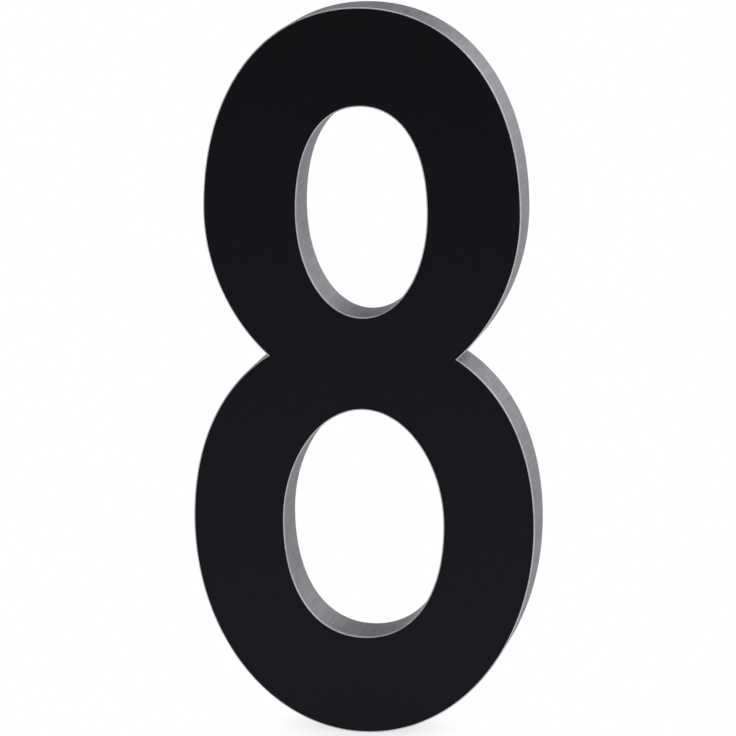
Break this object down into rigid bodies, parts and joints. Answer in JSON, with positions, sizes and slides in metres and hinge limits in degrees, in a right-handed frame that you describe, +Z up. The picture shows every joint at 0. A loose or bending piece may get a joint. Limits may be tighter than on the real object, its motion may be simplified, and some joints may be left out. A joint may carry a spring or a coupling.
{
  "type": "house number",
  "caption": "Upright figure eight cut from thick metal plate, with a black face, bare metal edges and blind stud holes in the back, fixed to a wall as a house number.",
  "frame": {"origin": "on the back face, midway between the stud holes", "axes": "+Z up the figure, +Y out of the back towards the wall, so the face looks along -Y, and +X to the viewer's right"},
  "size_m": [0.072, 0.0127, 0.1524],
  "materials": {
    "numeral_metal": "satin bare metal, with a satin black coat on the face"
  },
  "bodies": {
    "root": {"numeral_eight": "numeral_metal"}
  },
  "joints": []
}
